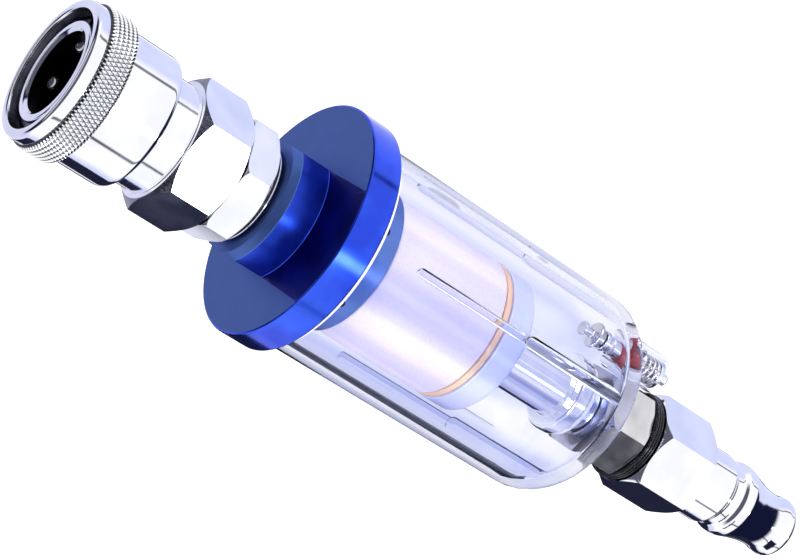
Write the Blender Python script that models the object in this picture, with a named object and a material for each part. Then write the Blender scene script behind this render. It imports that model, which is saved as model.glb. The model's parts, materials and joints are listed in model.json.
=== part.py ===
"""In-line compressed air filter: quick coupler socket on top, clear bowl, plug below.

Metres, +Z up.  The origin is the centre of the coupler's mouth and the object hangs
below it, so every height is negative.  Lengths are written in millimetres and turned
into metres where meshes are made.
"""
import math

import bmesh
import bpy
from mathutils import Matrix, Vector

MM = 0.001
GAP = 0.3                 # clearance left between faces that touch

# Coupler socket
SLEEVE_LIP_R = 12.3
SLEEVE_KNURL_R = 12.9
SLEEVE_R = 11.6
SLEEVE_MOUTH_R = 10.6
SLEEVE_LAND_R = 9.05
SLEEVE_END = -16.8
KNURL_TOP = -2.4
KNURL_END = -7.2
BALL_R = 1.5
BALL_COUNT = 6
BALL_FIRST_ANGLE = 44.0
BALL_Z = -5.0
BALL_CENTRE_R = 7.7
BALL_LIFT_RATIO = 0.25
SOCKET_FRONT = -0.9
SOCKET_FRONT_R = 8.86
RING_GROOVE_R = 8.25
RING_GROOVE_TOP = -1.85
RING_GROOVE_END = -2.9
SOCKET_BORE_R = 7.2
SOCKET_SEAL_BORE_R = 6.05
SOCKET_NECK_R = 9.6
SOCKET_HEX_AF = 21.0
SOCKET_HEX_TOP = -22.0
SOCKET_HEX_END = -31.9
SPRING_SEAT = -16.4
VALVE_SEAT = -19.0
CHAMBER_R = 8.25

# Adapter between the socket and the head
ADAPTER_TOP = -25.5
ADAPTER_TUBE_R = 8.05
ADAPTER_HEX_AF = 19.0
ADAPTER_HEX_TOP = SOCKET_HEX_END - GAP
ADAPTER_HEX_END = -38.0
ADAPTER_THREAD_R = 6.6
ADAPTER_END = -48.4

# Head
BOSS_TOP = -39.6
BOSS_R = 11.5
BOSS_FLATS = 20.0
FLANGE_TOP = -47.4
FLANGE_END = -53.2
FLANGE_R = 21.0
COLLAR_R = 13.5
COLLAR_END = -60.8
REGISTER_R = 16.4
INLET_Z = -57.6           # height of the cross holes through the collar and the tube

# Bowl
BOWL_R = 18.8
BOWL_WALL = 2.0
BOWL_TOP = -54.5
BOWL_END = -115.1
BOWL_FLOOR = -112.4
BOWL_FILLET = 7.6
BOWL_SEAL_R = 19.8
RIB_COUNT = 5
RIB_FIRST_ANGLE = -3.5
RIB_TOP = -63.9
RIB_WIDTH = 1.8
RIB_DEPTH = 1.7

# Filter element and centre tube
ELEMENT_R = 12.8
ELEMENT_BORE_R = 7.8
ELEMENT_TOP = COLLAR_END - GAP
ELEMENT_END = -84.4
CAP_TOP = -86.0
CAP_END = -91.4
TUBE_R = 5.0
TUBE_UPPER_R = 4.3
TUBE_TOP = -51.8
TUBE_FOOT_R = 7.4
TUBE_FOOT_TOP = -108.6
TUBE_FOOT_END = -111.0
TUBE_END = -121.6

# Bottom nut and plug
NUT_AF = 15.0
NUT_TOP = BOWL_END - GAP
NUT_END = -125.4
NUT_THREAD_R = 6.55
PLUG_AF = 17.0
PLUG_TOP = -127.6
PLUG_HEX_END = -141.3
PLUG_TIP = -165.9
PLUG_BORE_R = 3.8

# Drain valve
DRAIN_X = 11.5
DRAIN_BOSS_R = 3.7
DRAIN_BOSS_END = -125.1
DRAIN_LIP = -118.6
DRAIN_PIN_R = 1.0

ROUND = 32                # sides of the large turned pieces
SMALL_ROUND = 16          # sides of the small turned pieces

CHROME = ((0.80, 0.81, 0.83), 0.12, 1.0)
SPRING_STEEL = ((0.55, 0.56, 0.58), 0.30, 1.0)
BLUE = ((0.02, 0.05, 0.62), 0.22, 0.9)
CLEAR = ((0.86, 0.90, 0.98), 0.05, 0.0)
RUBBER = ((0.02, 0.02, 0.02), 0.60, 0.0)
WHITE_SEAL = ((0.90, 0.90, 0.92), 0.50, 0.0)
ELEMENT = ((0.93, 0.82, 0.86), 0.90, 0.0)
ORANGE = ((0.90, 0.58, 0.32), 0.70, 0.0)
CAP_WHITE = ((0.88, 0.88, 0.93), 0.35, 0.0)
RED = ((0.65, 0.05, 0.07), 0.45, 0.0)


def clear_scene():
    for item in list(bpy.data.objects):
        bpy.data.objects.remove(item, do_unlink=True)


def finish_for(name, finish):
    colour, roughness, metallic = finish
    material = bpy.data.materials.new(name)
    material.use_nodes = True
    shader = material.node_tree.nodes["Principled BSDF"]
    shader.inputs["Base Color"].default_value = (*colour, 1.0)
    shader.inputs["Roughness"].default_value = roughness
    shader.inputs["Metallic"].default_value = metallic
    return material


def add_object(name, shape, finish=None, at=(0.0, 0.0, 0.0)):
    """Turn a bmesh in millimetres into an object; a piece without a finish is a cutter."""
    bmesh.ops.remove_doubles(shape, verts=shape.verts, dist=1e-5)
    bmesh.ops.recalc_face_normals(shape, faces=shape.faces)
    bmesh.ops.scale(shape, vec=(MM, MM, MM), verts=shape.verts)
    mesh = bpy.data.meshes.new(name)
    shape.to_mesh(mesh)
    shape.free()
    item = bpy.data.objects.new(name, mesh)
    item.location = Vector(at) * MM
    bpy.context.scene.collection.objects.link(item)
    if finish is None:
        item.hide_render = True
        item.display_type = "WIRE"
        return item
    mesh.materials.append(finish_for(name, finish))
    mesh.shade_smooth()
    mesh.set_sharp_from_angle(angle=math.radians(35))
    return item


def turned_shape(profile, sides):
    """Spin a closed outline of (radius, height) points once round the Z axis."""
    shape = bmesh.new()
    points = [shape.verts.new((radius, 0.0, height)) for radius, height in profile]
    edges = [shape.edges.new((points[i - 1], points[i])) for i in range(len(points))]
    on_axis = [edge for edge in edges if max(v.co.x for v in edge.verts) < 1e-6]
    for edge in on_axis:
        shape.edges.remove(edge)
        edges.remove(edge)
    bmesh.ops.spin(shape, geom=points + edges, cent=(0, 0, 0), axis=(0, 0, 1),
                   angle=math.tau, steps=sides, use_merge=True)
    return shape


def turned(name, profile, finish=None, sides=ROUND, at=(0.0, 0.0, 0.0)):
    return add_object(name, turned_shape(profile, sides), finish, at)


def prism(name, across_flats, low, high, first_corner):
    """A hexagonal cutter with its first corner at the given polar angle in degrees."""
    shape = bmesh.new()
    bmesh.ops.create_cone(shape, cap_ends=True, segments=6, depth=high - low,
                          radius1=across_flats / math.sqrt(3), radius2=across_flats / math.sqrt(3))
    turn = Matrix.Rotation(math.radians(first_corner - 90.0), 3, "Z")
    bmesh.ops.rotate(shape, matrix=turn, verts=shape.verts)
    bmesh.ops.translate(shape, vec=(0, 0, (low + high) / 2), verts=shape.verts)
    return add_object(name, shape)


def drill(name, radius, start, end, sides=12):
    """A round cutter between two points."""
    start, end = Vector(start), Vector(end)
    shape = bmesh.new()
    bmesh.ops.create_cone(shape, cap_ends=True, segments=sides, depth=(end - start).length,
                          radius1=radius, radius2=radius)
    turn = (end - start).to_track_quat("Z", "Y").to_matrix()
    bmesh.ops.rotate(shape, matrix=turn, verts=shape.verts)
    bmesh.ops.translate(shape, vec=(start + end) / 2, verts=shape.verts)
    return add_object(name, shape)


def box(name, low, high, finish=None):
    shape = bmesh.new()
    bmesh.ops.create_cube(shape, size=1.0)
    low, high = Vector(low), Vector(high)
    bmesh.ops.scale(shape, vec=high - low, verts=shape.verts)
    bmesh.ops.translate(shape, vec=(low + high) / 2, verts=shape.verts)
    return add_object(name, shape, finish)


def combine(item, other, operation):
    step = item.modifiers.new(other.name, "BOOLEAN")
    step.operation = operation
    step.object = other
    step.solver = "EXACT"


def polar(radius, degrees, height=0.0):
    angle = math.radians(degrees)
    return (radius * math.cos(angle), radius * math.sin(angle), height)


def coil(name, mean_r, wire_r, top, bottom, turns, finish, at=(0.0, 0.0, 0.0)):
    """A round-wire compression spring as one closed tube with flat ends."""
    steps_per_turn = 12
    wire_sides = 5
    count = int(turns * steps_per_turn)
    high = top - wire_r
    low = bottom + wire_r
    shape = bmesh.new()
    rings = []
    for i in range(count + 1):
        angle = math.tau * i / steps_per_turn
        height = high + (low - high) * i / count
        ring = []
        for k in range(wire_sides):
            around = math.tau * k / wire_sides
            radius = mean_r + wire_r * math.cos(around)
            ring.append(shape.verts.new((radius * math.cos(angle), radius * math.sin(angle),
                                         height + wire_r * math.sin(around))))
        rings.append(ring)
    for one, two in zip(rings, rings[1:]):
        for k in range(wire_sides):
            after = (k + 1) % wire_sides
            shape.faces.new((one[k], one[after], two[after], two[k]))
    shape.faces.new(rings[0])
    shape.faces.new(rings[-1])
    return add_object(name, shape, finish, at)


def ball_angle(index):
    """Polar angle of one locking ball in degrees."""
    return BALL_FIRST_ANGLE + 360.0 * index / BALL_COUNT


def ramp_radius(height):
    """Inner radius of the sleeve's ramp, which stays clear of the locking balls as it slides."""
    at_ball = BALL_CENTRE_R + (BALL_R + 0.08) * math.hypot(1.0, BALL_LIFT_RATIO)
    return at_ball + BALL_LIFT_RATIO * (height - BALL_Z)


def build_sleeve():
    ramp_top = -1.6
    ramp_end = BALL_Z - (ramp_radius(BALL_Z) - SLEEVE_LAND_R) / BALL_LIFT_RATIO
    turned("coupler_sleeve", [
        (SLEEVE_LIP_R - 1.1, 0.0), (SLEEVE_LIP_R - 0.35, -0.3), (SLEEVE_LIP_R, -1.0),
        (SLEEVE_LIP_R, KNURL_TOP), (SLEEVE_KNURL_R, KNURL_TOP - 0.4), (SLEEVE_KNURL_R, KNURL_END + 0.4),
        (SLEEVE_KNURL_R - 0.5, KNURL_END), (SLEEVE_R, KNURL_END - 0.1),
        (SLEEVE_R, SLEEVE_END + 0.8), (SLEEVE_R - 0.7, SLEEVE_END),
        (10.15, SLEEVE_END), (10.15, -9.4), (SLEEVE_LAND_R, -9.4),
        (SLEEVE_LAND_R, ramp_end), (ramp_radius(ramp_top), ramp_top), (SLEEVE_MOUTH_R, -0.5),
    ], CHROME)


def build_stop_ring():
    top = RING_GROOVE_TOP - 0.15
    end = RING_GROOVE_END + 0.15
    inner = RING_GROOVE_R + GAP
    ring = turned("sleeve_stop_ring", [(9.7, top), (9.7, end), (inner, end), (inner, top)],
                  SPRING_STEEL)
    slit = box("stop_ring_slit", (7.0, -0.9, end - 1.0), (12.0, 0.9, top + 1.0))
    combine(ring, slit, "DIFFERENCE")


def build_socket_body():
    hex_corner = SOCKET_HEX_AF / math.sqrt(3)
    body = turned("socket_body", [
        (SOCKET_FRONT_R - 0.5, SOCKET_FRONT), (SOCKET_FRONT_R, SOCKET_FRONT - 0.5),
        (SOCKET_FRONT_R, RING_GROOVE_TOP), (RING_GROOVE_R, RING_GROOVE_TOP),
        (RING_GROOVE_R, RING_GROOVE_END), (SOCKET_FRONT_R, RING_GROOVE_END),
        (SOCKET_FRONT_R, -9.2), (8.25, -9.2), (8.25, SPRING_SEAT), (SOCKET_NECK_R, SPRING_SEAT),
        (SOCKET_NECK_R, SOCKET_HEX_TOP), (hex_corner - 1.4, SOCKET_HEX_TOP),
        (hex_corner, SOCKET_HEX_TOP - 1.2), (hex_corner, SOCKET_HEX_END + 1.2),
        (hex_corner - 1.4, SOCKET_HEX_END),
        (CHAMBER_R, SOCKET_HEX_END), (CHAMBER_R, VALVE_SEAT), (SOCKET_SEAL_BORE_R, VALVE_SEAT),
        (SOCKET_SEAL_BORE_R, -15.6), (7.1, -15.6), (7.1, -13.0), (SOCKET_SEAL_BORE_R, -13.0),
        (SOCKET_SEAL_BORE_R, -11.6), (SOCKET_BORE_R, -11.2), (SOCKET_BORE_R, SOCKET_FRONT - 0.6),
        (SOCKET_BORE_R + 0.5, SOCKET_FRONT),
    ], CHROME)
    combine(body, prism("socket_hexagon", SOCKET_HEX_AF, -40.0, 5.0, -60.0), "INTERSECT")
    for i in range(BALL_COUNT):
        angle = ball_angle(i)
        hole = drill(f"ball_hole_{i + 1}", BALL_R + 0.17, polar(5.0, angle, BALL_Z),
                     polar(10.0, angle, BALL_Z))
        combine(body, hole, "DIFFERENCE")


def build_balls():
    for i in range(BALL_COUNT):
        shape = bmesh.new()
        bmesh.ops.create_icosphere(shape, subdivisions=2, radius=BALL_R)
        add_object(f"locking_ball_{i + 1}", shape, SPRING_STEEL,
                   at=polar(BALL_CENTRE_R, ball_angle(i), BALL_Z))


def build_socket_inside():
    turned("socket_seal", [(6.8, -13.2), (6.8, -15.4), (5.9, -15.4), (5.75, -14.9), (5.75, -13.7),
                           (5.9, -13.2)], RUBBER, SMALL_ROUND)
    coil("sleeve_spring", 9.15, 0.4, -9.65, SPRING_SEAT + 0.2, 3.5, SPRING_STEEL)
    turned("valve_poppet", [
        (0.0, -18.1), (1.6, -17.6), (4.2, -17.3), (4.9, -17.9), (4.9, -20.6), (7.1, -20.6),
        (7.1, -21.6), (4.2, -21.6), (4.2, -23.4), (0.0, -23.4),
    ], CHROME, SMALL_ROUND)
    turned("valve_seal", [(7.1, -19.25), (7.1, -20.3), (5.2, -20.3), (5.2, -19.25)], RUBBER,
           SMALL_ROUND)
    coil("valve_spring", 5.4, 0.45, -21.9, -28.8, 3.5, SPRING_STEEL)


def build_adapter():
    hex_corner = ADAPTER_HEX_AF / math.sqrt(3)
    adapter = turned("socket_adapter", [
        (ADAPTER_TUBE_R - 0.4, ADAPTER_TOP), (ADAPTER_TUBE_R, ADAPTER_TOP - 0.5),
        (ADAPTER_TUBE_R, ADAPTER_HEX_TOP), (hex_corner, ADAPTER_HEX_TOP),
        (hex_corner, ADAPTER_HEX_END + 1.1), (hex_corner - 1.5, ADAPTER_HEX_END),
        (8.6, ADAPTER_HEX_END), (8.6, ADAPTER_HEX_END - 0.3),
        (ADAPTER_THREAD_R, ADAPTER_HEX_END - 0.3), (ADAPTER_THREAD_R, ADAPTER_END + 0.6),
        (ADAPTER_THREAD_R - 0.6, ADAPTER_END), (4.2, ADAPTER_END), (4.2, -29.1), (6.7, -29.1),
        (6.7, ADAPTER_TOP),
    ], CHROME)
    combine(adapter, prism("adapter_hexagon", ADAPTER_HEX_AF, -60.0, 5.0, -75.0), "INTERSECT")
    seal_top = ADAPTER_HEX_END - 0.5
    seal_end = BOSS_TOP + 0.25
    turned("adapter_seal", [(8.2, seal_top), (8.2, seal_end), (6.95, seal_end), (6.95, seal_top)],
           RUBBER, SMALL_ROUND)


def build_head():
    head = turned("head", [
        (BOSS_R - 0.6, BOSS_TOP), (BOSS_R, BOSS_TOP - 0.6), (BOSS_R, FLANGE_TOP + 1.0),
        (FLANGE_R - 0.4, FLANGE_TOP), (FLANGE_R, FLANGE_TOP - 0.4), (FLANGE_R, FLANGE_END + 0.3),
        (FLANGE_R - 0.3, FLANGE_END), (REGISTER_R, FLANGE_END), (REGISTER_R, FLANGE_END - 1.8),
        (COLLAR_R, FLANGE_END - 1.8), (COLLAR_R, COLLAR_END + 0.4), (COLLAR_R - 0.4, COLLAR_END),
        (9.2, COLLAR_END), (9.2, -59.6), (4.6, -59.6), (4.6, TUBE_TOP + GAP), (0.0, TUBE_TOP + GAP),
        (0.0, -48.9), (ADAPTER_THREAD_R + 0.2, -48.9), (ADAPTER_THREAD_R + 0.2, BOSS_TOP - 0.6),
        (ADAPTER_THREAD_R + 0.9, BOSS_TOP),
    ], BLUE)
    for side, name in ((1, "boss_flat_right"), (-1, "boss_flat_left")):
        near = side * BOSS_FLATS / 2
        far = side * 30.0
        flat = box(name, (min(near, far), -30.0, FLANGE_TOP + 0.05), (max(near, far), 30.0, -30.0))
        combine(head, flat, "DIFFERENCE")
    for i in range(3):
        angle = 30.0 + 120.0 * i
        hole = drill(f"outlet_hole_{i + 1}", 1.6, polar(6.9, angle, -48.0), polar(6.9, angle, -62.0), 10)
        combine(head, hole, "DIFFERENCE")
    for i in range(6):
        angle = 60.0 * i
        hole = drill(f"inlet_hole_{i + 1}", 0.8, polar(2.0, angle, INLET_Z), polar(15.0, angle, INLET_Z), 8)
        combine(head, hole, "DIFFERENCE")


def build_bowl():
    inner = BOWL_R - BOWL_WALL
    bend = BOWL_FILLET - BOWL_WALL
    arc = [math.radians(a) for a in (0, 30, 60, 90)]
    outside = [(BOWL_R - BOWL_FILLET * (1 - math.cos(a)), BOWL_END + BOWL_FILLET * (1 - math.sin(a)))
               for a in arc]
    inside = [(inner - bend * (1 - math.cos(a)), BOWL_FLOOR + bend * (1 - math.sin(a)))
              for a in reversed(arc)]
    bowl = turned("bowl", [(inner, BOWL_TOP), (BOWL_R, BOWL_TOP)] + outside
                  + [(5.3, BOWL_END), (5.3, BOWL_FLOOR)] + inside, CLEAR)
    for i in range(RIB_COUNT):
        angle = RIB_FIRST_ANGLE + 360.0 / RIB_COUNT * i
        shape = bmesh.new()
        bmesh.ops.create_cube(shape, size=1.0)
        bmesh.ops.scale(shape, vec=(RIB_DEPTH + 0.6, RIB_WIDTH, RIB_TOP - BOWL_FLOOR - 2.0),
                        verts=shape.verts)
        bmesh.ops.translate(shape, verts=shape.verts,
                            vec=(inner - RIB_DEPTH / 2 + 0.3, 0, (RIB_TOP + BOWL_FLOOR + 2.0) / 2))
        top_edges = [e for e in shape.edges
                     if abs(e.verts[0].co.z - RIB_TOP) < 1e-3 and abs(e.verts[1].co.z - RIB_TOP) < 1e-3
                     and abs(e.verts[0].co.y - e.verts[1].co.y) < 1e-3]
        bmesh.ops.bevel(shape, geom=top_edges, offset=RIB_WIDTH * 0.48, segments=2, affect="EDGES",
                        profile=0.5)
        bmesh.ops.rotate(shape, verts=shape.verts, matrix=Matrix.Rotation(math.radians(angle), 3, "Z"))
        combine(bowl, add_object(f"rib_{i + 1}", shape), "UNION")
    drain_boss = turned("drain_boss", [(0.0, BOWL_FLOOR - 0.6), (DRAIN_BOSS_R, BOWL_FLOOR - 0.6),
                                       (DRAIN_BOSS_R, DRAIN_BOSS_END), (0.0, DRAIN_BOSS_END)],
                        sides=SMALL_ROUND, at=(DRAIN_X, 0, 0))
    combine(bowl, drain_boss, "UNION")
    drain_bore = turned("drain_bore", [
        (0.0, BOWL_FLOOR + 3.0), (2.4, BOWL_FLOOR + 3.0), (2.4, DRAIN_LIP), (1.35, DRAIN_LIP),
        (1.35, DRAIN_LIP - 0.8), (2.95, DRAIN_LIP - 0.8), (2.95, DRAIN_BOSS_END - 1.0),
        (0.0, DRAIN_BOSS_END - 1.0)], sides=SMALL_ROUND, at=(DRAIN_X, 0, 0))
    combine(bowl, drain_bore, "DIFFERENCE")


def build_bowl_seals():
    top = FLANGE_END - GAP
    end = BOWL_TOP + 0.25
    inner = REGISTER_R + GAP + 0.05
    turned("bowl_seal", [(BOWL_SEAL_R, top), (BOWL_SEAL_R, end), (inner, end), (inner, top)], WHITE_SEAL)
    top = TUBE_FOOT_END - GAP
    end = BOWL_FLOOR + 0.25
    turned("floor_seal", [(7.0, top), (7.0, end), (5.3, end), (5.3, top)], WHITE_SEAL, SMALL_ROUND)


def build_element():
    turned("filter_element", [(ELEMENT_R, ELEMENT_TOP), (ELEMENT_R, ELEMENT_END),
                              (ELEMENT_BORE_R, ELEMENT_END), (ELEMENT_BORE_R, ELEMENT_TOP)], ELEMENT)
    turned("element_gasket", [(ELEMENT_R, ELEMENT_END - GAP), (ELEMENT_R, CAP_TOP + GAP),
                              (5.6, CAP_TOP + GAP), (5.6, ELEMENT_END - GAP)], ORANGE)
    turned("element_cap", [
        (ELEMENT_R + 0.2, CAP_TOP), (ELEMENT_R + 0.2, CAP_END + 1.0), (ELEMENT_R - 0.8, CAP_END),
        (TUBE_UPPER_R + GAP, CAP_END), (TUBE_UPPER_R + GAP, CAP_TOP)], CAP_WHITE)


def build_tube():
    tube = turned("centre_tube", [
        (TUBE_UPPER_R - 0.3, TUBE_TOP), (TUBE_UPPER_R, TUBE_TOP - 0.3), (TUBE_UPPER_R, CAP_END - 0.3),
        (TUBE_R, CAP_END - 0.3), (TUBE_R, TUBE_FOOT_TOP), (TUBE_FOOT_R - 0.5, TUBE_FOOT_TOP),
        (TUBE_FOOT_R, TUBE_FOOT_TOP - 0.5), (TUBE_FOOT_R, TUBE_FOOT_END), (4.95, TUBE_FOOT_END),
        (4.95, TUBE_END), (3.0, TUBE_END), (3.0, TUBE_TOP)], CHROME, SMALL_ROUND)
    for i in range(3):
        angle = 60.0 * i
        hole = drill(f"tube_hole_{i + 1}", 0.8, polar(-6.0, angle, INLET_Z), polar(6.0, angle, INLET_Z), 8)
        combine(tube, hole, "DIFFERENCE")


def build_bottom_nut():
    hex_corner = NUT_AF / math.sqrt(3)
    nut = turned("bottom_nut", [
        (hex_corner - 1.0, NUT_TOP), (hex_corner, NUT_TOP - 0.8), (hex_corner, NUT_END + 0.8),
        (hex_corner - 1.0, NUT_END), (NUT_THREAD_R, NUT_END), (NUT_THREAD_R, -134.6),
        (NUT_THREAD_R - 0.5, -135.1), (3.4, -135.1), (3.4, -122.0), (5.2, -122.0), (5.2, NUT_TOP),
    ], CHROME)
    combine(nut, prism("nut_hexagon", NUT_AF, -150.0, -100.0, -90.0), "INTERSECT")
    turned("plug_seal", [(8.4, NUT_END - GAP), (8.4, PLUG_TOP + GAP), (6.8, PLUG_TOP + GAP),
                         (6.8, NUT_END - GAP)], RUBBER, SMALL_ROUND)


def build_plug():
    hex_corner = PLUG_AF / math.sqrt(3)
    plug = turned("plug", [
        (hex_corner - 1.0, PLUG_TOP), (hex_corner, PLUG_TOP - 1.0), (hex_corner, PLUG_HEX_END + 1.3),
        (hex_corner - 1.6, PLUG_HEX_END), (6.8, PLUG_HEX_END), (6.8, -148.2), (6.1, -148.9),
        (6.1, -150.9), (7.0, -151.8), (7.0, -153.8), (6.2, -156.3), (5.35, -161.0), (5.35, -162.5),
        (5.7, -164.0), (5.7, -165.4), (5.25, PLUG_TIP), (PLUG_BORE_R, PLUG_TIP), (PLUG_BORE_R, -136.0),
        (6.8, -136.0), (6.8, PLUG_TOP)], CHROME)
    combine(plug, prism("plug_hexagon", PLUG_AF, -170.0, -100.0, -67.0), "INTERSECT")


def build_drain():
    here = (DRAIN_X, 0, 0)
    turned("drain_pin", [
        (0.0, -110.1), (DRAIN_PIN_R, -110.1), (DRAIN_PIN_R, -111.0), (1.9, -111.0), (1.9, -115.6),
        (DRAIN_PIN_R, -115.6), (DRAIN_PIN_R, -123.8), (2.6, -123.8), (2.6, -124.6),
        (DRAIN_PIN_R, -124.6), (DRAIN_PIN_R, -127.2), (0.0, -127.2)], CHROME, SMALL_ROUND, here)
    turned("drain_knob", [
        (0.0, -106.4), (1.1, -106.4), (1.3, -106.6), (1.3, -106.9), (0.75, -107.2), (0.75, -108.6),
        (2.2, -109.0), (2.4, -109.2), (2.4, -109.5), (1.8, -109.8), (1.8, -110.7), (1.25, -110.7),
        (1.25, -109.8), (0.0, -109.8)], CHROME, SMALL_ROUND, here)
    turned("drain_seal", [(2.2, -115.9), (2.2, -118.3), (1.2, -118.3), (1.2, -115.9)], RED,
           SMALL_ROUND, here)
    coil("drain_spring", 2.2, 0.28, -119.7, -123.6, 3.0, SPRING_STEEL, here)


def build_all():
    clear_scene()
    build_sleeve()
    build_stop_ring()
    build_socket_body()
    build_balls()
    build_socket_inside()
    build_adapter()
    build_head()
    build_bowl()
    build_bowl_seals()
    build_element()
    build_tube()
    build_bottom_nut()
    build_plug()
    build_drain()


build_all()
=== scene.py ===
"""Looks of an in-line compressed air filter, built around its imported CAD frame.

Lengths are in millimetres in the row frame (origin at the coupler's mouth, +Z up out of it)
and become metres where meshes are made.
"""
import json
import math

import bmesh
import bpy
from mathutils import Matrix, Vector


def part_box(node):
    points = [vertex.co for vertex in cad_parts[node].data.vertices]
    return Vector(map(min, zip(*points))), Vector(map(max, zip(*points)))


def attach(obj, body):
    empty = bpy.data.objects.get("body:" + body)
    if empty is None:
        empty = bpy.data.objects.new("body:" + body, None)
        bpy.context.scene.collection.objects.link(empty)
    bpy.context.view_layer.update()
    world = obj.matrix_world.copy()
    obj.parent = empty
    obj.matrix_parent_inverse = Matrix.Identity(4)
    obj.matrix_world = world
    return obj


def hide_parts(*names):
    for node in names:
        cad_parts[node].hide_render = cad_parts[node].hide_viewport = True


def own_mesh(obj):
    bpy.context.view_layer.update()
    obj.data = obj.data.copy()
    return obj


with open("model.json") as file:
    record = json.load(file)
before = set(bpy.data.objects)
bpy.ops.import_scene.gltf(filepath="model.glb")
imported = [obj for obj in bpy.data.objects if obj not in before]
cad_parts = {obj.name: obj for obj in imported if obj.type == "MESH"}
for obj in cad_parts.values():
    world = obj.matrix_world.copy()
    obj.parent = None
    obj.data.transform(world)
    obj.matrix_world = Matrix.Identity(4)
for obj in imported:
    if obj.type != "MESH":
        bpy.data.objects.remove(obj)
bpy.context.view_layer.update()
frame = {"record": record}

MM = 0.001
GAP = 0.3                  # clearance between faces that touch
FINE = 160                 # sides of the large turned pieces
FINEST = 192               # sides of the head and the bowl
MEDIUM = 96                # sides of the small turned pieces
SMALL = 64                 # sides of the drain's pieces
NOISE_SPAN = (0.3, 0.7)    # the range that a noise texture really fills

# Measures that no box in the frame gives, in millimetres and degrees
KNURL_DEPTH = 0.42
LAND_R = 9.05              # the sleeve's land that holds the balls in
SPRING_ROOM_R = 10.15      # the sleeve's bore round its spring
CHAMBER_R = 8.25           # the socket's groove floors and its valve chamber
SPRING_SEAT = -16.4
VALVE_SEAT = -19.0
SOCKET_BORE_R = 7.2
SEAL_BORE_R = 6.05
BALL_HOLE_R = 1.67
ADAPTER_FLOOR = -29.1
BOSS_R = 11.5
COLLAR_R = 13.5
FLANGE_HEIGHT = 5.8
REGISTER_R = 16.4          # the head's step inside the bowl's seal
HEAD_THREAD_END = -48.9
HEAD_WEB_END = -51.5
HEAD_SOCKET_END = -59.6
INLET_Z = -57.6            # height of the cross holes through the collar and the tube
INLET_R = 0.8
BOWL_END = -115.1
BOWL_FLOOR = BOWL_END + 2.7
BOWL_WALL = 2.0
BOWL_FILLET = 7.6
RIB_COUNT = 5
RIB_PITCH = 360.0 / RIB_COUNT
RIB_FIRST_ANGLE = -3.5
RIB_FACE_ANGLE = 5.5       # half the angle that holds a rib's faces
TUBE_R = 5.0
TUBE_UPPER_R = 4.3
TUBE_BORE_R = 3.0
NUT_THREAD_R = 6.55
NUT_FLOOR = -122.0
PLUG_BORE_R = 3.8
DRAIN_BOSS_R = 3.7
DRAIN_LIP = -118.6

# Studio, in metres; colours are linear
FLAG_DISTANCE = 0.11       # from the filter's axis to the boards that only reflections see
FLOOR_SIZE = 8.0
FLOOR_LEVEL = -0.5
LENS = 112.5
CAMERA_PLACE = (0.0, -0.35805, 0.13219)
CAMERA_RIGHT = (0.53668, -0.41828, -0.73281)
CAMERA_BACK = (-0.00348, -0.86957, 0.49379)
BLACK = (0.0, 0.0, 0.0)
WHITE = (1.0, 1.0, 1.0)
PALE = (0.66, 0.70, 0.96)
SOFT = (0.86, 0.87, 1.0)
HAZE = (0.50, 0.52, 0.74)
GREY = (0.10, 0.10, 0.14)
NAVY = (0.006, 0.008, 0.03)
STRIP = (6.0, 6.4, 6.8)    # a narrow strip light, seen by bare metal
GLEAM = (3.0, 3.3, 3.6)    # the same strip, seen through the bowl

mounts = {mount["name"]: mount for mount in frame["record"]["mounts"]}
body_of_node = {node: body for body, nodes in frame["record"]["behaviour"]["bodies"].items()
                for node in nodes}


# ---------------------------------------------------------------- measures from the frame

def bottom(node):
    """The lowest height of a CAD node."""
    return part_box(node)[0][2] / MM


def top(node):
    """The greatest height of a CAD node."""
    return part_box(node)[1][2] / MM


def reach(node):
    """The radius of a round CAD node."""
    low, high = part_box(node)
    return max(high[0] - low[0], high[1] - low[1]) / 2 / MM


def middle(node):
    """The centre of a CAD node's box."""
    low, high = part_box(node)
    return ((low[0] + high[0]) / 2 / MM, (low[1] + high[1]) / 2 / MM, (low[2] + high[2]) / 2 / MM)


def flat_of(mount_name):
    """Half the width across flats and the polar angle in degrees of a spanner flat."""
    x, y, _ = mounts[mount_name]["pos_m"]
    nx, ny, _ = mounts[mount_name]["axis"]
    return math.hypot(x, y) / MM, math.degrees(math.atan2(ny, nx))


# ---------------------------------------------------------------- mesh helpers

def outline(points, arc_steps=5):
    """A closed outline whose points (r, z, rounding) get a smooth arc where rounding is given."""
    result = []
    count = len(points)
    for i, point in enumerate(points):
        here = Vector(point[:2])
        if len(point) < 3 or not point[2]:
            result.append((here.x, here.y))
            continue
        before = Vector(points[i - 1][:2]) - here
        after = Vector(points[(i + 1) % count][:2]) - here
        reach_back = min(point[2], before.length * 0.49)
        reach_on = min(point[2], after.length * 0.49)
        start = here + before.normalized() * reach_back
        end = here + after.normalized() * reach_on
        for k in range(arc_steps + 1):
            t = k / arc_steps
            spot = start * (1 - t) ** 2 + here * 2 * t * (1 - t) + end * t ** 2
            result.append((spot.x, spot.y))
    return result


def mesh_object(name, verts, faces, sharp=35.0, at=(0.0, 0.0, 0.0)):
    """An object from vertices in millimetres, with outward normals and smooth shading."""
    shape = bmesh.new()
    made = [shape.verts.new(Vector(v) * MM) for v in verts]
    for face in faces:
        shape.faces.new([made[i] for i in face])
    bmesh.ops.remove_doubles(shape, verts=shape.verts, dist=1e-7)
    bmesh.ops.dissolve_degenerate(shape, dist=1e-8, edges=shape.edges)
    bmesh.ops.recalc_face_normals(shape, faces=shape.faces)
    bmesh.ops.translate(shape, vec=Vector(at) * MM, verts=shape.verts)
    mesh = bpy.data.meshes.new(name)
    shape.to_mesh(mesh)
    shape.free()
    item = bpy.data.objects.new(name, mesh)
    bpy.context.scene.collection.objects.link(item)
    smooth(item, sharp)
    return item


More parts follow.
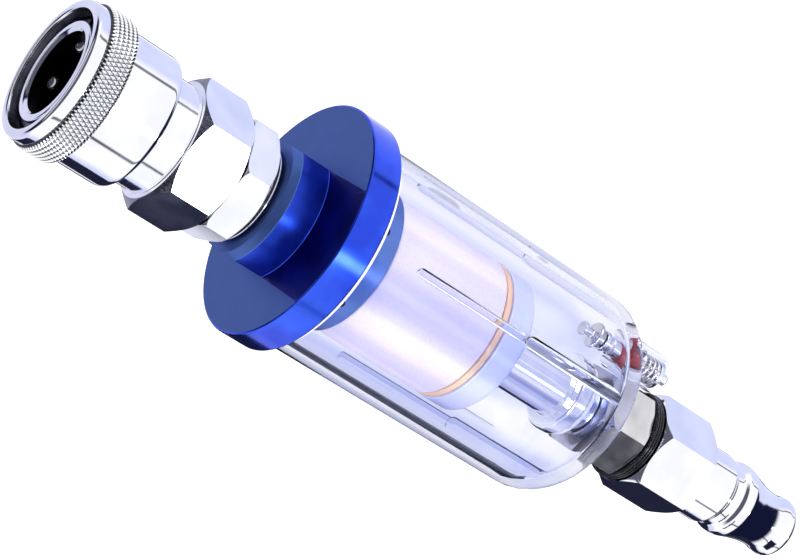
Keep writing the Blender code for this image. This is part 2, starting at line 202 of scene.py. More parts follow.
def smooth(item, sharp):
    """Shade smooth, with sharp edges above an angle in degrees."""
    item.data.shade_smooth()
    item.data.set_sharp_from_angle(angle=math.radians(sharp))


def turned(name, points, sides=FINE, sharp=35.0, at=(0.0, 0.0, 0.0), arc_steps=5):
    """A closed (r, z, rounding) outline turned round the Z axis."""
    line = outline(points, arc_steps)
    count = len(line)
    angles = [math.tau * i / sides for i in range(sides)]
    verts = [(r * math.cos(a), r * math.sin(a), z) for a in angles for r, z in line]
    faces = []
    for i in range(sides):
        j = (i + 1) % sides
        for k in range(count):
            m = (k + 1) % count
            if line[k][0] < 1e-6 and line[m][0] < 1e-6:
                continue
            if line[k][0] < 1e-6:
                faces.append((i * count + k, j * count + m, i * count + m))
            elif line[m][0] < 1e-6:
                faces.append((i * count + k, j * count + k, i * count + m))
            else:
                faces.append((i * count + k, j * count + k, j * count + m, i * count + m))
    return mesh_object(name, verts, faces, sharp, at)


def tube_along(name, path, wire_r, wire_sides=12):
    """A round wire along a list of points, with flat ends."""
    verts, faces = [], []
    for i, spot in enumerate(path):
        ahead = Vector(path[min(i + 1, len(path) - 1)]) - Vector(path[max(i - 1, 0)])
        ahead.normalize()
        side = ahead.cross(Vector((0, 0, 1))).normalized()
        lift = side.cross(ahead).normalized()
        for k in range(wire_sides):
            a = math.tau * k / wire_sides
            verts.append(Vector(spot) + (side * math.cos(a) + lift * math.sin(a)) * wire_r)
    for i in range(len(path) - 1):
        for k in range(wire_sides):
            m = (k + 1) % wire_sides
            faces.append((i * wire_sides + k, i * wire_sides + m,
                          (i + 1) * wire_sides + m, (i + 1) * wire_sides + k))
    faces.append(tuple(range(wire_sides)))
    faces.append(tuple((len(path) - 1) * wire_sides + k for k in range(wire_sides)))
    return mesh_object(name, verts, faces)


def coil(name, mean_r, wire_r, high, low, turns, at=(0.0, 0.0)):
    """A compression spring whose end turns lie flat."""
    steps_per_turn = 28
    flat_turns = 0.75
    path = []
    for i in range(int((turns + 2 * flat_turns) * steps_per_turn) + 1):
        turn = i / steps_per_turn
        share = min(max((turn - flat_turns) / turns, 0.0), 1.0)
        a = math.tau * turn
        path.append((at[0] + mean_r * math.cos(a), at[1] + mean_r * math.sin(a),
                     high - wire_r + (low - high + 2 * wire_r) * share))
    return tube_along(name, path, wire_r)


def boolean(item, cutter, operation):
    """Apply a Boolean at once and remove the cutter."""
    step = item.modifiers.new("cut", "BOOLEAN")
    step.operation = operation
    step.object = cutter
    step.solver = "EXACT"
    bake(item)
    bpy.data.objects.remove(cutter, do_unlink=True)


def bake(item):
    """Turn an object's modifiers into its mesh."""
    bpy.context.view_layer.update()
    graph = bpy.context.evaluated_depsgraph_get()
    mesh = bpy.data.meshes.new_from_object(item.evaluated_get(graph))
    item.modifiers.clear()
    item.data = mesh


def bevel(item, width, angle=28.0, segments=2, edge_material=None):
    """Round the sharp edges by a small width in millimetres, with their own material if one is given; a dark
    one paints dark reflection along them.
    """
    step = item.modifiers.new("edge", "BEVEL")
    if edge_material:
        item.data.materials.append(edge_material)
        step.material = len(item.data.materials) - 1
    step.width = width * MM
    step.segments = segments
    step.limit_method = "ANGLE"
    step.angle_limit = math.radians(angle)
    step.use_clamp_overlap = True
    bake(item)
    smooth(item, 40.0)
    flatten = item.modifiers.new("flat_faces", "WEIGHTED_NORMAL")
    flatten.weight = 100
    flatten.keep_sharp = True
    bake(item)


def prism(apothem, facing, low, high, sides=6):
    """A straight prism cutter with one flat at the polar angle facing."""
    corner = apothem / math.cos(math.pi / sides)
    verts = []
    for z in (low, high):
        for k in range(sides):
            a = math.radians(facing) + math.pi / sides + math.tau * k / sides
            verts.append((corner * math.cos(a), corner * math.sin(a), z))
    faces = [tuple(range(sides)), tuple(range(sides, 2 * sides))]
    faces += [(k, (k + 1) % sides, sides + (k + 1) % sides, sides + k) for k in range(sides)]
    return mesh_object("prism_cutter", verts, faces)


def rod(radius, start, end, sides=32):
    """A round cutter between two points."""
    start, end = Vector(start), Vector(end)
    ahead = (end - start).normalized()
    side = ahead.orthogonal().normalized()
    lift = ahead.cross(side)
    verts = []
    for spot in (start, end):
        for k in range(sides):
            a = math.tau * k / sides
            verts.append(spot + (side * math.cos(a) + lift * math.sin(a)) * radius)
    faces = [tuple(range(sides)), tuple(range(sides, 2 * sides))]
    faces += [(k, (k + 1) % sides, sides + (k + 1) % sides, sides + k) for k in range(sides)]
    return mesh_object("rod_cutter", verts, faces)


def block(low, high):
    """A box cutter between two corners."""
    verts = [(x, y, z) for z in (low[2], high[2]) for y in (low[1], high[1]) for x in (low[0], high[0])]
    faces = [(0, 1, 3, 2), (4, 5, 7, 6), (0, 1, 5, 4), (2, 3, 7, 6), (0, 2, 6, 4), (1, 3, 7, 5)]
    return mesh_object("block_cutter", verts, faces)


def polar(radius, degrees, height):
    """A point given by its radius, its angle round the axis and its height."""
    a = math.radians(degrees)
    return (radius * math.cos(a), radius * math.sin(a), height)


def second_material(item, material, chosen):
    """Give the faces for which chosen(centre in mm, normal) is true another material."""
    item.data.materials.append(material)
    index = len(item.data.materials) - 1
    for face in item.data.polygons:
        if chosen(face.center / MM, face.normal):
            face.material_index = index


# ---------------------------------------------------------------- materials

def node(tree, kind, **settings):
    """A new shader node with its settings."""
    made = tree.nodes.new(kind)
    for name, value in settings.items():
        setattr(made, name, value)
    return made


def new_material(name):
    """A new material, its node tree and its Principled shader."""
    made = bpy.data.materials.new(name)
    made.use_nodes = True
    return made, made.node_tree, made.node_tree.nodes["Principled BSDF"]


def noise(tree, scale, detail=3.0, stretch=(1.0, 1.0, 1.0)):
    """Noise over the piece's own coordinates; scale is in cells per metre."""
    coords = node(tree, "ShaderNodeTexCoord")
    mapping = node(tree, "ShaderNodeMapping")
    mapping.inputs["Scale"].default_value = stretch
    made = node(tree, "ShaderNodeTexNoise")
    made.inputs["Scale"].default_value = scale
    made.inputs["Detail"].default_value = detail
    tree.links.new(coords.outputs["Object"], mapping.inputs["Vector"])
    tree.links.new(mapping.outputs["Vector"], made.inputs["Vector"])
    return made.outputs["Fac"]


def ramp(tree, source, stops):
    """Colours over a 0 to 1 value, given as (position, colour) stops."""
    made = node(tree, "ShaderNodeValToRGB")
    band = made.color_ramp
    while len(band.elements) < len(stops):
        band.elements.new(0.5)
    for element, (position, colour) in zip(band.elements, stops):
        element.position = position
        element.color = (*colour, 1.0)
    tree.links.new(source, made.inputs["Fac"])
    return made.outputs["Color"]


def multiplied(tree, one, other):
    """The product of two colours."""
    made = node(tree, "ShaderNodeMix", data_type="RGBA", blend_type="MULTIPLY")
    made.inputs["Factor"].default_value = 1.0
    tree.links.new(one, made.inputs["A"])
    tree.links.new(other, made.inputs["B"])
    return made.outputs["Result"]


def spread(tree, source, low, high):
    """Map the range that a noise fills to low..high."""
    made = node(tree, "ShaderNodeMapRange")
    made.inputs["From Min"].default_value = NOISE_SPAN[0]
    made.inputs["From Max"].default_value = NOISE_SPAN[1]
    made.inputs["To Min"].default_value = low
    made.inputs["To Max"].default_value = high
    tree.links.new(source, made.inputs["Value"])
    return made.outputs["Result"]


def bump(tree, shader, source, strength, distance):
    """Relief from a 0 to 1 value; distance is in millimetres."""
    made = node(tree, "ShaderNodeBump")
    made.inputs["Strength"].default_value = strength
    made.inputs["Distance"].default_value = distance * MM
    tree.links.new(source, made.inputs["Height"])
    tree.links.new(made.outputs["Normal"], shader.inputs["Normal"])


def by_radius(tree, inner_mm, outer_mm, stops):
    """A colour ramp over the distance from the filter's axis."""
    coords = node(tree, "ShaderNodeTexCoord")
    flat = node(tree, "ShaderNodeVectorMath", operation="MULTIPLY")
    flat.inputs[1].default_value = (1.0, 1.0, 0.0)
    length = node(tree, "ShaderNodeVectorMath", operation="LENGTH")
    share = node(tree, "ShaderNodeMapRange")
    share.inputs["From Min"].default_value = inner_mm * MM
    share.inputs["From Max"].default_value = outer_mm * MM
    tree.links.new(coords.outputs["Object"], flat.inputs[0])
    tree.links.new(flat.outputs["Vector"], length.inputs[0])
    tree.links.new(length.outputs["Value"], share.inputs["Value"])
    return ramp(tree, share.outputs["Result"], stops)


def metal(name, dark, light, rough_low, rough_high, grain=900.0, bump_mm=0.004, bump_strength=0.25,
          stretch=(1.0, 1.0, 1.0), coat=0.0):
    """A metal whose colour, roughness and relief vary with a fine grain."""
    material, tree, shader = new_material(name)
    shader.inputs["Metallic"].default_value = 1.0
    shader.inputs["Coat Weight"].default_value = coat
    fine = noise(tree, grain, 4.0, stretch)
    broad = noise(tree, 140.0, 2.0)
    tree.links.new(ramp(tree, broad, [(0.35, dark), (0.65, light)]), shader.inputs["Base Color"])
    tree.links.new(spread(tree, broad, rough_low, rough_high), shader.inputs["Roughness"])
    bump(tree, shader, fine, bump_strength, bump_mm)
    return material


def dull(name, dark, light, roughness, grain=700.0, bump_mm=0.03, bump_strength=0.4, **extra):
    """A plastic or rubber whose colour and relief vary with a fine grain."""
    material, tree, shader = new_material(name)
    for socket, value in extra.items():
        shader.inputs[socket.replace("_", " ")].default_value = value
    fine = noise(tree, grain, 4.0)
    broad = noise(tree, 90.0, 3.0)
    tree.links.new(ramp(tree, broad, [(0.3, dark), (0.7, light)]), shader.inputs["Base Color"])
    tree.links.new(spread(tree, fine, roughness - 0.06, roughness + 0.06), shader.inputs["Roughness"])
    bump(tree, shader, fine, bump_strength, bump_mm)
    return material


CHROME = metal("bright_chrome", (0.82, 0.83, 0.87), (0.92, 0.92, 0.95), 0.045, 0.10, stretch=(1, 1, 9))
CHROME_FLAT = metal("chrome_on_milled_flats", (0.80, 0.82, 0.87), (0.93, 0.93, 0.96), 0.07, 0.13,
                    grain=1500.0, bump_mm=0.012, bump_strength=0.3)
# Near-black chrome for the hexagons' bevels: painted dark reflection that draws thin outlines along the edges
EDGE_PAINTED_DARK_REFLECTION = metal("chrome_edge_painted_dark_reflection", (0.10, 0.10, 0.13), (0.22, 0.22, 0.26), 0.12, 0.22)
# Dark steel for the hexagon's chamfers: painted dark reflection
CHAMFER_PAINTED_DARK_REFLECTION = metal("chamfer_steel_painted_dark_reflection", (0.16, 0.16, 0.19), (0.34, 0.34, 0.38), 0.22, 0.32)
CHROME_ROUGH = metal("chrome_on_drawn_bar", (0.52, 0.51, 0.54), (0.80, 0.79, 0.81), 0.14, 0.24,
                     grain=5200.0, bump_mm=0.03, bump_strength=0.6)
KNOB_STEEL = metal("knob_steel", (0.50, 0.49, 0.50), (0.78, 0.77, 0.79), 0.08, 0.16)
# Near-black metal for bores and the valve deep inside: painted shade in the recesses
BORE_PAINTED_SHADE = metal("bore_painted_shade", (0.012, 0.012, 0.016), (0.03, 0.03, 0.038), 0.25, 0.4)
BALL_STEEL = metal("ball_steel", (0.40, 0.40, 0.42), (0.60, 0.60, 0.63), 0.08, 0.14)
# Blued steel: the stop ring's own colour, and also painted shade inside the sleeve's mouth
RING_STEEL_AND_MOUTH_SHADE = metal("blued_ring_steel_and_painted_mouth_shade", (0.03, 0.03, 0.045), (0.09, 0.09, 0.12), 0.18, 0.3)
SPRING = metal("spring_steel", (0.58, 0.56, 0.58), (0.80, 0.78, 0.80), 0.2, 0.32, grain=2500.0)
BLUE = metal("blue_anodised", (0.012, 0.055, 0.68), (0.030, 0.110, 0.90), 0.14, 0.24,
             grain=700.0, bump_mm=0.006, bump_strength=0.3, stretch=(1, 1, 12), coat=0.35)
BLUE_MILLED = metal("blue_milled", (0.085, 0.170, 0.50), (0.12, 0.22, 0.60), 0.40, 0.52,
                    grain=900.0, bump_mm=0.02, bump_strength=0.5, stretch=(1, 6, 1))
# Very dark blue for the cone between boss and flange: painted shade
BLUE_CONE_PAINTED_SHADE = metal("blue_cone_painted_shade", (0.004, 0.008, 0.16), (0.010, 0.018, 0.28), 0.28, 0.36,
                  grain=1200.0, bump_mm=0.01, bump_strength=0.3)
BLUE_BOSS = metal("blue_boss", (0.012, 0.040, 0.40), (0.030, 0.080, 0.72), 0.20, 0.32,
                  grain=1500.0, bump_mm=0.02, bump_strength=0.5)
BLUE_SATIN = metal("blue_satin_collar", (0.10, 0.20, 0.52), (0.16, 0.28, 0.66), 0.30, 0.40,
                   grain=1400.0, bump_mm=0.02, bump_strength=0.5)
RUBBER = dull("black_rubber", (0.004, 0.004, 0.005), (0.012, 0.012, 0.015), 0.22)
WHITE_SEAL = dull("white_seal", (0.86, 0.86, 0.90), (0.97, 0.97, 0.99), 0.35)
ORANGE = dull("orange_fibre", (0.90, 0.56, 0.34), (0.98, 0.74, 0.52), 0.6, grain=1800.0)
CAP = dull("translucent_cap", (0.62, 0.65, 0.90), (0.74, 0.77, 0.95), 0.22, bump_strength=0.1,
           Subsurface_Weight=0.25, Subsurface_Scale=0.003)
RED = dull("red_rubber", (0.72, 0.04, 0.05), (0.85, 0.08, 0.09), 0.35)


def knurl_material():
    """Chrome that is bright on the diamonds' crests, with painted shade that darkens it in the grooves
    between them.
    """
    material, tree, shader = new_material("chrome_knurl")
    shader.inputs["Metallic"].default_value = 1.0
    r = reach("coupler_sleeve")
    # Painted shade: the colour falls to near black towards the grooves' floors.
    depth = by_radius(tree, r - KNURL_DEPTH, r, [(0.0, (0.015, 0.015, 0.02)), (0.14, (0.08, 0.08, 0.09)),
                                                (0.32, (0.76, 0.76, 0.80)), (1.0, (0.97, 0.97, 0.99))])
    tree.links.new(depth, shader.inputs["Base Color"])
    fine = noise(tree, 1600.0, 3.0)
    tree.links.new(spread(tree, fine, 0.14, 0.26), shader.inputs["Roughness"])
    bump(tree, shader, fine, 0.4, 0.01)
    return material


def element_material():
    """Sintered filter medium: pale pink grains with darker pores, and faint lavender streaks along it as
    painted reflection of the bowl.
    """
    material, tree, shader = new_material("sintered_medium")
    grains = node(tree, "ShaderNodeTexVoronoi")
    coords = node(tree, "ShaderNodeTexCoord")
    grains.inputs["Scale"].default_value = 3600.0
    tree.links.new(coords.outputs["Object"], grains.inputs["Vector"])
    tint = ramp(tree, grains.outputs["Distance"], [(0.0, (1.0, 0.93, 0.975)), (0.5, (0.98, 0.89, 0.955)),
                                                   (0.95, (0.90, 0.80, 0.91))])
    # Painted reflection: lavender streaks along the element stand in for the bands that the bowl reflects
    # over it.
    streaks = ramp(tree, noise(tree, 150.0, 1.0, (1.0, 1.0, 0.04)),
                   [(0.36, (0.86, 0.86, 1.0)), (0.50, (1.0, 0.97, 1.0)), (0.62, (1.0, 1.0, 1.0))])
    tree.links.new(multiplied(tree, tint, streaks), shader.inputs["Base Color"])
    shader.inputs["Roughness"].default_value = 0.85
    shader.inputs["Subsurface Weight"].default_value = 0.15
    shader.inputs["Subsurface Scale"].default_value = 0.001
    bump(tree, shader, grains.outputs["Distance"], 0.25, -0.03)
    return material


def clear_material(name, ior, shade):
    """Clear moulded polycarbonate: violet-blue flow streaks, a wavy skin, darker where it is thick."""
    material, tree, shader = new_material(name)
    shader.inputs["Transmission Weight"].default_value = 1.0
    shader.inputs["IOR"].default_value = ior
    shader.inputs["Coat Weight"].default_value = 0.25
    shader.inputs["Coat IOR"].default_value = 1.4
    shader.inputs["Coat Roughness"].default_value = 0.03
    wavy = noise(tree, 60.0, 1.0)
    streaks = noise(tree, 120.0, 1.0, (1.0, 1.0, 0.05))
    body = ramp(tree, streaks, [(0.36, shade), (0.50, (0.95, 0.955, 1.0)), (0.62, (0.99, 0.99, 1.0))])
    tree.links.new(body, shader.inputs["Base Color"])
    thickness_tint = node(tree, "ShaderNodeVolumeAbsorption")
    thickness_tint.inputs["Color"].default_value = (0.40, 0.43, 0.62, 1.0)
    thickness_tint.inputs["Density"].default_value = 36.0
    tree.links.new(thickness_tint.outputs["Volume"], tree.nodes["Material Output"].inputs["Volume"])
    tree.links.new(spread(tree, wavy, 0.0, 0.02), shader.inputs["Roughness"])
    bump(tree, shader, wavy, 0.06, 0.2)
    return material


KNURL = knurl_material()
ELEMENT = element_material()
CLEAR = clear_material("clear_polycarbonate", 1.06, (0.74, 0.77, 0.95))
CLEAR_RIB = clear_material("clear_polycarbonate_ribs", 1.34, (0.86, 0.88, 0.97))
CLEAR_BOSS = clear_material("clear_polycarbonate_boss", 1.10, (0.78, 0.82, 0.95))


def place(item, replaced, material=None):
    """Let a piece ride on the body of the CAD node that it stands for."""
    if material:
        if item.data.materials:
            item.data.materials[0] = material
        else:
            item.data.materials.append(material)
    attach(item, body_of_node[replaced])
    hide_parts(replaced)
    return item


def place_extra(item, beside, material):
    """A detail piece that rides with a CAD node's body."""
    item.data.materials.append(material)
    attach(item, body_of_node[beside])
    return item


# ---------------------------------------------------------------- coupler socket

def sleeve():
    """The sliding sleeve, and its knurled band as a ring of small diamonds."""
    low, high, r = bottom("coupler_sleeve"), top("coupler_sleeve"), reach("coupler_sleeve")
    lip_r = r - 0.6
    skirt_r = r - 1.3
    mouth_r = r - 2.3
    knurl_high, knurl_low = high - 2.45, high - 7.2
    core_r = r - 0.75
    shell = turned("sleeve_shell", [
        (mouth_r, high, 0.7), (lip_r, high, 1.5), (lip_r, knurl_high + 0.25, 0.2),
        (core_r, knurl_high + 0.2, 0.1), (core_r, knurl_low - 0.05, 0.1), (skirt_r, knurl_low - 0.1, 0.1),
        (skirt_r, low, 1.3), (SPRING_ROOM_R, low, 0.2), (SPRING_ROOM_R, high - 9.4),
        (LAND_R, high - 9.4), (LAND_R, high - 6.11), (10.18, high - 1.6),
        (mouth_r, high - 0.5)], FINE, arc_steps=8)
    place(shell, "coupler_sleeve", CHROME)
    # Painted shade: the sleeve's inner faces below its lip get the dark ring steel.
    second_material(shell, RING_STEEL_AND_MOUTH_SHADE, lambda c, n: c.z < high - 0.75 and math.hypot(c.x, c.y) < mouth_r)
    teeth, rows, per_tooth = 104, 40, 8
    tall = knurl_high - knurl_low
    pitch = math.tau * r / teeth * 1.05
    count = teeth * per_tooth
    inner = core_r + 0.02
    verts, faces = [], []
    for i in range(count):
        a = math.tau * i / count
        for k in range(rows + 1):
            z = knurl_low + tall * k / rows
            one = (teeth * a / math.tau + z / pitch / 2) % 1.0
            two = (teeth * a / math.tau - z / pitch / 2) % 1.0
            near = min(abs(one - 0.5), abs(two - 0.5)) * 2
            edge = min(k, rows - k) / 3.0
            radius = r - KNURL_DEPTH * (1 - min(1.0, 1.25 * near)) - 0.25 * max(0.0, 1 - edge)
            verts.append((radius * math.cos(a), radius * math.sin(a), z))
        verts.append((inner * math.cos(a), inner * math.sin(a), knurl_high))
        verts.append((inner * math.cos(a), inner * math.sin(a), knurl_low))
    ring = rows + 3
    for i in range(count):
        j = (i + 1) % count
        for k in range(ring):
            m = (k + 1) % ring
            faces.append((i * ring + k, j * ring + k, j * ring + m, i * ring + m))
    place_extra(mesh_object("sleeve_knurl", verts, faces, 60.0), "coupler_sleeve", KNURL)


def socket_body():
    """The bored socket with its ball holes, ring groove and hexagon."""
    high, low = top("socket_body"), bottom("socket_body")
    apothem, facing = flat_of("socket_spanner_flat")
    corner = apothem / math.cos(math.pi / 6)
    hex_high, front_r, neck_r = low + 9.9, 8.86, 9.6
    ring_high, ring_low = -1.85, -2.9
    body = turned("socket_core", [
        (front_r, high, 0.4), (front_r, ring_high, 0.05), (CHAMBER_R, ring_high), (CHAMBER_R, ring_low),
        (front_r, ring_low), (front_r, -9.2), (CHAMBER_R, -9.2), (CHAMBER_R, SPRING_SEAT),
        (neck_r, SPRING_SEAT, 0.3), (neck_r, hex_high, 0.2),
        (corner - 1.7, hex_high), (corner, hex_high - 1.3), (corner, low + 1.3), (corner - 1.7, low),
        (CHAMBER_R, low), (CHAMBER_R, VALVE_SEAT), (SEAL_BORE_R, VALVE_SEAT), (SEAL_BORE_R, -15.6),
        (7.1, -15.6), (7.1, -13.0), (SEAL_BORE_R, -13.0), (SEAL_BORE_R, -11.6), (SOCKET_BORE_R, -11.2),
        (SOCKET_BORE_R, high - 0.5), (7.7, high, 0.2)])
    boolean(body, prism(apothem, facing, low - 5, high + 5), "INTERSECT")
    for i in range(6):
        x, y, z = middle(f"locking_ball_{i + 1}")
        out = Vector((x, y, 0)).normalized()
        level = Vector((0, 0, z))
        boolean(body, rod(BALL_HOLE_R, out * 5.0 + level, out * 10.0 + level), "DIFFERENCE")
    body.data.materials.clear()
    body.data.materials.append(CHROME_FLAT)
    # The dark bevel material paints dark reflection along the hexagon's edges.
    bevel(body, 0.16, edge_material=EDGE_PAINTED_DARK_REFLECTION)
    # Painted dark reflection: the hexagon's chamfers get a dark steel.
    second_material(body, CHAMFER_PAINTED_DARK_REFLECTION, lambda c, n: math.hypot(c.x, c.y) > corner - 1.75
                    and 0.3 < abs(n.z) < 0.97 and low < c.z < hex_high)
    # Painted shade: the bore gets a near-black metal.
    second_material(body, BORE_PAINTED_SHADE, lambda c, n: math.hypot(c.x, c.y) < 7.25 and c.z < high - 0.45)
    second_material(body, CHROME, lambda c, n: 7.25 < math.hypot(c.x, c.y) < front_r and c.z > high - 0.6)
    place(body, "socket_body")


def socket_small_parts():
    """The stop ring, the balls, the tip seal and the valve."""
    high, low, r = top("sleeve_stop_ring"), bottom("sleeve_stop_ring"), reach("sleeve_stop_ring")
    ring = turned("stop_ring", [(r, high, 0.15), (r, low, 0.15), (8.55, low, 0.1), (8.55, high, 0.1)])
    boolean(ring, block((7.0, -0.9, low - 1.0), (12.0, 0.9, high + 1.0)), "DIFFERENCE")
    smooth(ring, 35.0)
    place(ring, "sleeve_stop_ring", RING_STEEL_AND_MOUTH_SHADE)
    for i in range(6):
        name = f"locking_ball_{i + 1}"
        radius = (top(name) - bottom(name)) / 2
        steps = [math.pi * k / 24 for k in range(25)]
        arc = [(radius * math.sin(a), radius * math.cos(a)) for a in steps]
        place(turned(f"ball_{i + 1}", arc, 48, at=middle(name)), name, BALL_STEEL)
    place(turned("plug_tip_seal", [(6.8, -13.2), (6.8, -15.4), (5.75, -15.4, 0.6), (5.75, -13.2, 0.6)],
                 MEDIUM), "socket_seal", RUBBER)
    nose = turned("valve_nose", [(0.0, -18.0), (1.4, -18.0), (4.9, -17.35, 0.5), (4.9, -20.6),
                                 (7.1, -20.6, 0.2), (7.1, -21.6, 0.2), (4.2, -21.6), (4.2, -23.4, 0.3),
                                 (0.0, -23.4)], MEDIUM)
    # The valve nose deep in the socket gets the near-black metal as painted shade.
    place(nose, "valve_poppet", BORE_PAINTED_SHADE)
    tip = turned("valve_tip", [(0.0, -17.4), (0.35, -17.4, 0.2), (1.15, -17.95), (0.0, -17.95)], 48)
    place_extra(tip, "valve_poppet", CHROME)
    place(turned("valve_face_seal", [(7.1, -19.25, 0.2), (7.1, -20.3, 0.2), (5.2, -20.3), (5.2, -19.25)],
                 MEDIUM), "valve_seal", RUBBER)


def spring(name, replaced, mean_r, wire_r, turns, at=(0.0, 0.0)):
    """A coil with flat end turns in place of a CAD spring, riding with its body."""
    high, low = top(replaced), bottom(replaced)
    made = coil(name, mean_r, wire_r, high, low, turns, at)
    place(made, replaced, SPRING)
    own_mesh(made)


def adapter():
    """The short nut between the socket and the head, and its seal."""
    high, low = top("socket_adapter"), bottom("socket_adapter")
    apothem, facing = reach_of_adapter()
    corner = apothem / math.cos(math.pi / 6)
    hex_high = bottom("socket_body") - GAP
    hex_low = top("adapter_seal") + 0.5
    item = turned("adapter_nut", [
        (8.05, high, 0.4), (8.05, hex_high), (corner - 0.5, hex_high), (corner, hex_high - 0.4),
        (corner, hex_low + 1.2), (corner - 1.7, hex_low),
        (8.75, hex_low), (8.75, hex_low - 0.3, 0.15), (6.6, hex_low - 0.3), (6.6, low, 0.5), (4.2, low),
        (4.2, ADAPTER_FLOOR), (6.7, ADAPTER_FLOOR), (6.7, high)])
    boolean(item, prism(apothem, facing, low - 5, high + 5), "INTERSECT")
    item.data.materials.append(CHROME_FLAT)
    # The dark bevel material paints dark reflection along the hexagon's edges.
    bevel(item, 0.16, edge_material=EDGE_PAINTED_DARK_REFLECTION)
    place(item, "socket_adapter")
    mid = (top("adapter_seal") + bottom("adapter_seal")) / 2
    seal = turned("adapter_ring", [(8.2, top("adapter_seal"), 0.25), (8.2, bottom("adapter_seal"), 0.25),
                                   (6.95, bottom("adapter_seal")), (6.95, top("adapter_seal"))], MEDIUM)
    place(seal, "adapter_seal", RUBBER)
    wire = turned("adapter_washer_rim", [(8.6, mid + 0.16, 0.12), (8.6, mid - 0.16, 0.12),
                                         (8.22, mid - 0.16), (8.22, mid + 0.16)], MEDIUM)
    place_extra(wire, "adapter_seal", CHROME)


def reach_of_adapter():
    """The adapter's hexagon: its flats stand 45 degrees either side of the +X axis."""
    low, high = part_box("socket_adapter")
    corner = max(high[0] - low[0], high[1] - low[1]) / 2 / MM / math.cos(math.radians(15))
    return corner * math.cos(math.pi / 6), -45.0


# ---------------------------------------------------------------- head

def head():
    """The turned head: boss, cone, flange and collar."""
    high, low, r = top("head"), bottom("head"), reach("head")
    flat, _ = flat_of("head_spanner_flat")
    rim_high = top("bowl_seal") + GAP + FLANGE_HEIGHT
    rim_low = top("bowl_seal") + GAP
    step_low = rim_low - 1.8
    item = turned("head_body", [
        (BOSS_R - 1.1, high, 0.1), (BOSS_R, high - 1.3, 0.15), (BOSS_R, rim_high + 1.0, 0.25),
        (r, rim_high, 0.35), (r, rim_low, 0.35), (REGISTER_R, rim_low, 0.1), (REGISTER_R, step_low, 0.2),
        (COLLAR_R, step_low, 0.2), (COLLAR_R, low, 0.5), (9.2, low, 0.1), (9.2, HEAD_SOCKET_END),
        (4.6, HEAD_SOCKET_END), (4.6, HEAD_WEB_END), (0.0, HEAD_WEB_END), (0.0, HEAD_THREAD_END),
        (6.8, HEAD_THREAD_END), (6.8, high - 0.6), (7.6, high, 0.1)], FINEST)
    floor = rim_high + 0.05
    for side in (1, -1):
        near, far = side * flat, side * 30.0
        boolean(item, block((min(near, far), -30.0, floor), (max(near, far), 30.0, -20.0)), "DIFFERENCE")
    for i in range(3):
        a = 30.0 + 120.0 * i
        boolean(item, rod(1.6, polar(6.9, a, -48.0), polar(6.9, a, -62.0)), "DIFFERENCE")
    for i in range(6):
        a = 60.0 * i
        boolean(item, rod(INLET_R, polar(2.0, a, INLET_Z), polar(15.0, a, INLET_Z), 24), "DIFFERENCE")
    bevel(item, 0.10)
    item.data.materials.clear()
    item.data.materials.append(BLUE)
    second_material(item, BLUE_BOSS, lambda c, n: math.hypot(c.x, c.y) < BOSS_R + 0.02
                    and rim_high + 1.05 < c.z)
    # Painted shade: the cone between boss and flange gets a very dark blue.
    second_material(item, BLUE_CONE_PAINTED_SHADE, lambda c, n: BOSS_R - 0.1 < math.hypot(c.x, c.y) < r - 0.45
                    and n.z > 0.5 and rim_high - 0.1 < c.z < rim_high + 1.1)
    second_material(item, BLUE_MILLED, lambda c, n: c.z > rim_high - 0.1 and (c.z > high - 1.5 and n.z > 0.3
                    or abs(c.x) > flat - 0.01 and (n.z > 0.99 or abs(n.x) > 0.99)))
    second_material(item, BLUE_SATIN, lambda c, n: c.z < rim_low - 0.3)
    place(item, "head")


# ---------------------------------------------------------------- bowl and what it holds

